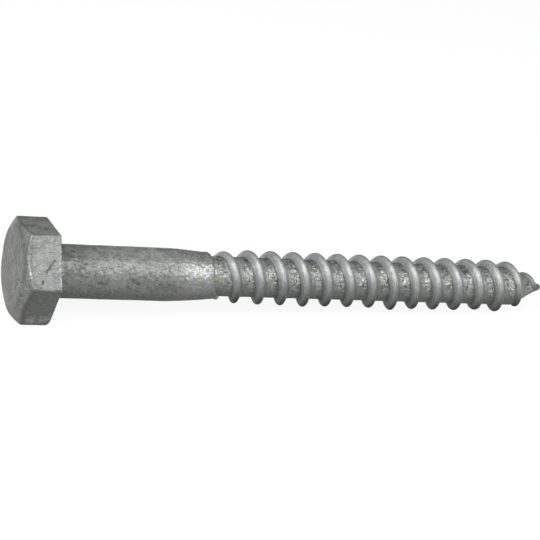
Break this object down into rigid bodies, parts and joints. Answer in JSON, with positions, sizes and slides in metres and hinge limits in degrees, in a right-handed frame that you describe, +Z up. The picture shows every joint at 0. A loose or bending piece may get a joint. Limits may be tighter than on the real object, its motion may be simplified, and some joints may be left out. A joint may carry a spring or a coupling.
{
  "type": "coach screw",
  "caption": "Hexagon-head wood screw with a plain shank, a necked right-hand wood thread and a gimlet point, hot-dip galvanised, lying at rest.",
  "frame": {"origin": "centre of the footprint on the ground that the screw lies on", "axes": "+X along the screw from head to tip, level; +Z up; the screw's own axis dips 2.30 degrees below +X"},
  "size_m": [0.1058, 0.0196, 0.0172],
  "materials": {
    "galvanised_steel": "hot-dip galvanised, dull mottled grey zinc with small runs and dross in the thread roots"
  },
  "bodies": {
    "root": {"coach_screw": "galvanised_steel"}
  },
  "joints": []
}
